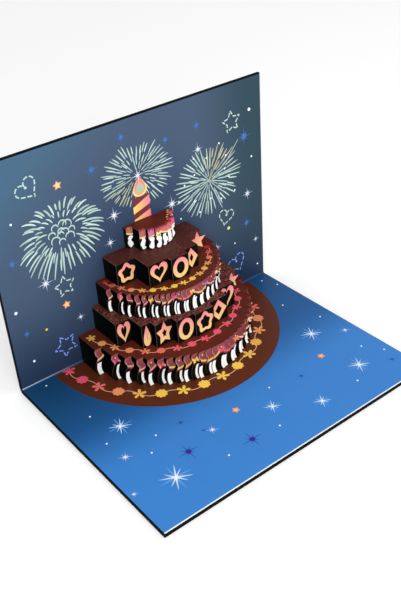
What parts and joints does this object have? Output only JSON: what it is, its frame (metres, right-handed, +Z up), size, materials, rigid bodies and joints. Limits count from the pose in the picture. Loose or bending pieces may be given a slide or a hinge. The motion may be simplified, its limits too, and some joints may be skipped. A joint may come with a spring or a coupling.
{
  "type": "pop-up greeting card",
  "caption": "Folded greeting card stood open at a right angle, with a tiered cake cut and creased out of its printed inner sheet.",
  "frame": {"origin": "centre of the card's footprint, on the surface that it stands on", "axes": "+X along the fold, +Y from the front edge to the upright panel, +Z up"},
  "size_m": [0.2, 0.152, 0.152],
  "materials": {
    "cover_board": "matte black board",
    "printed_card": "satin printed card"
  },
  "bodies": {
    "root": {"cover": "cover_board", "pop_up_sheet": "printed_card"}
  },
  "joints": []
}
